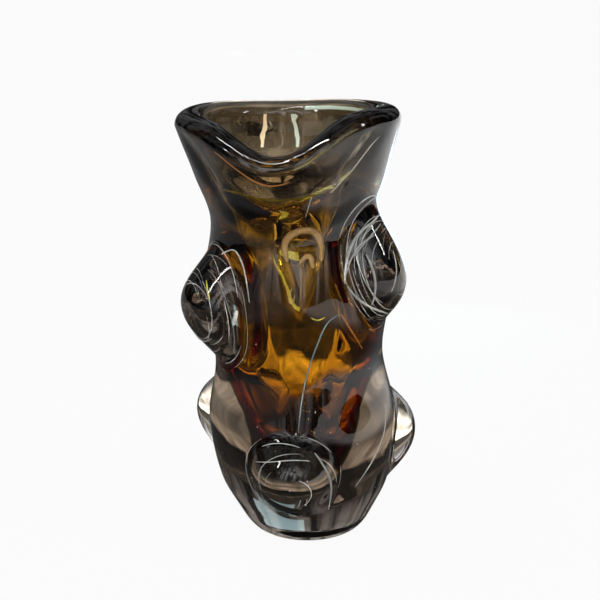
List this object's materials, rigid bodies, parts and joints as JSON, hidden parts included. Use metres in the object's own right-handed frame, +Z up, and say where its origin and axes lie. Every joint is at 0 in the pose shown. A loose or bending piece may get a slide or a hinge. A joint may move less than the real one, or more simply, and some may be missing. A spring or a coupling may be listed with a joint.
{
  "type": "gourd vase",
  "caption": "Heavy hand-blown cased-glass gourd vase with a dipped rolled lip, an amber lining under smoke and clear glass, and staggered clear knobs.",
  "frame": {"origin": "centre of the flat ground foot, on the surface that the vase stands on", "axes": "+Z up out of the mouth, -Y towards the dip in the lip (the front), +X to the right seen from the front"},
  "size_m": [0.1979, 0.2002, 0.3615],
  "materials": {
    "amber_glass": "glossy, transparent amber, even and thin",
    "smoke_glass": "glossy, transparent smoke brown",
    "clear_glass": "fire-polished, clear with a faint grey-violet tint in the thick places"
  },
  "bodies": {
    "root": {"amber_lining": "amber_glass", "smoke_layer": "smoke_glass", "clear_casing": "clear_glass", "base_pad": "clear_glass", "knob_upper_left": "clear_glass", "knob_upper_right": "clear_glass", "knob_upper_back": "clear_glass", "knob_lower_front": "clear_glass", "knob_lower_right": "clear_glass", "knob_lower_left": "clear_glass"}
  },
  "joints": []
}
